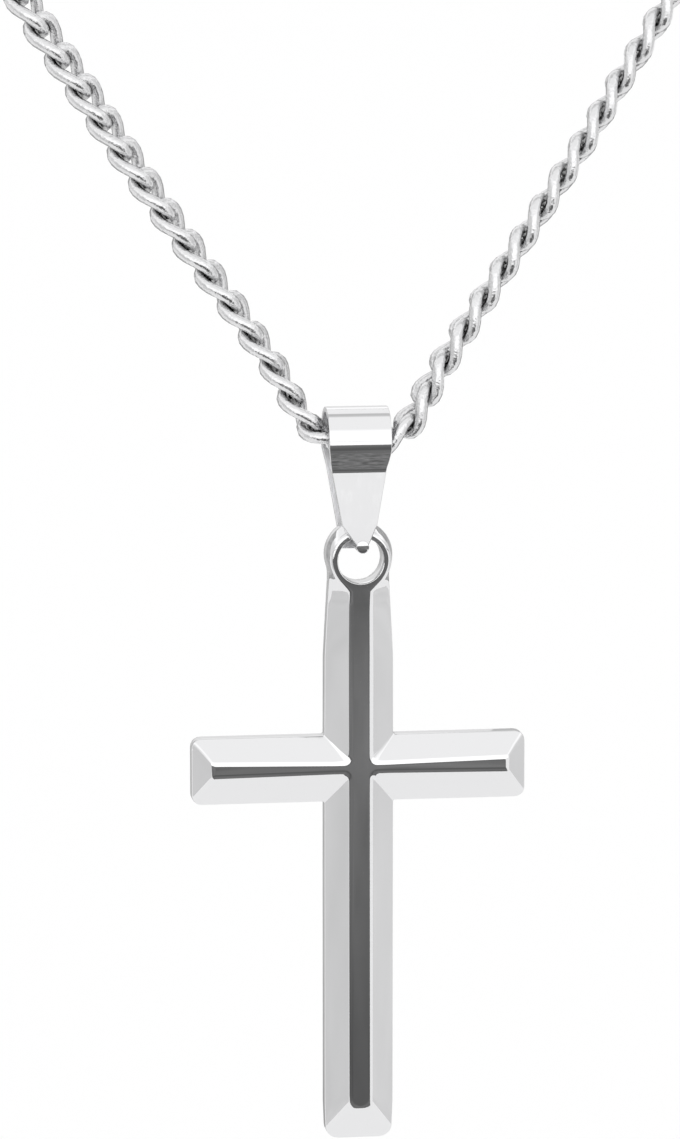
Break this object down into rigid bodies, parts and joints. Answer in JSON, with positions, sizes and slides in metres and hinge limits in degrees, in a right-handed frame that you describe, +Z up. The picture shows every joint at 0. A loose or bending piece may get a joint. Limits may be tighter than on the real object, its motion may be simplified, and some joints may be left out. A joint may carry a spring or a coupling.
{
  "type": "cross pendant necklace",
  "caption": "Bevelled steel cross pendant with a cast ring, hung by a folded tapering bail on a curb chain that closes behind the neck with a plain clasp.",
  "frame": {"origin": "the middle of the neck that the chain hangs round, level with the sides of the neck", "axes": "+Z up, -Y the front that the picture shows, +X to the viewer's right"},
  "size_m": [0.1265, 0.1282, 0.1921],
  "materials": {
    "polished_steel": "mirror-polished stainless steel",
    "chain_steel": "tumble-polished stainless steel wire"
  },
  "bodies": {
    "chain": {"chain_left": "chain_steel", "chain_right": "chain_steel", "clasp": "chain_steel"},
    "bail": {"bail": "polished_steel"},
    "cross": {"cross": "polished_steel"}
  },
  "joints": [
    {"name": "bail_swing", "type": "hinge", "parent": "chain", "child": "bail", "pos_m": [-0.0003, -0.062, -0.11726], "axis": [1, 0, 0], "range_deg": [-90, 90]},
    {"name": "cross_swing", "type": "hinge", "parent": "bail", "child": "cross", "pos_m": [-0.00005, -0.062, -0.12661], "axis": [0, 1, 0], "range_deg": [-60, 60]}
  ]
}
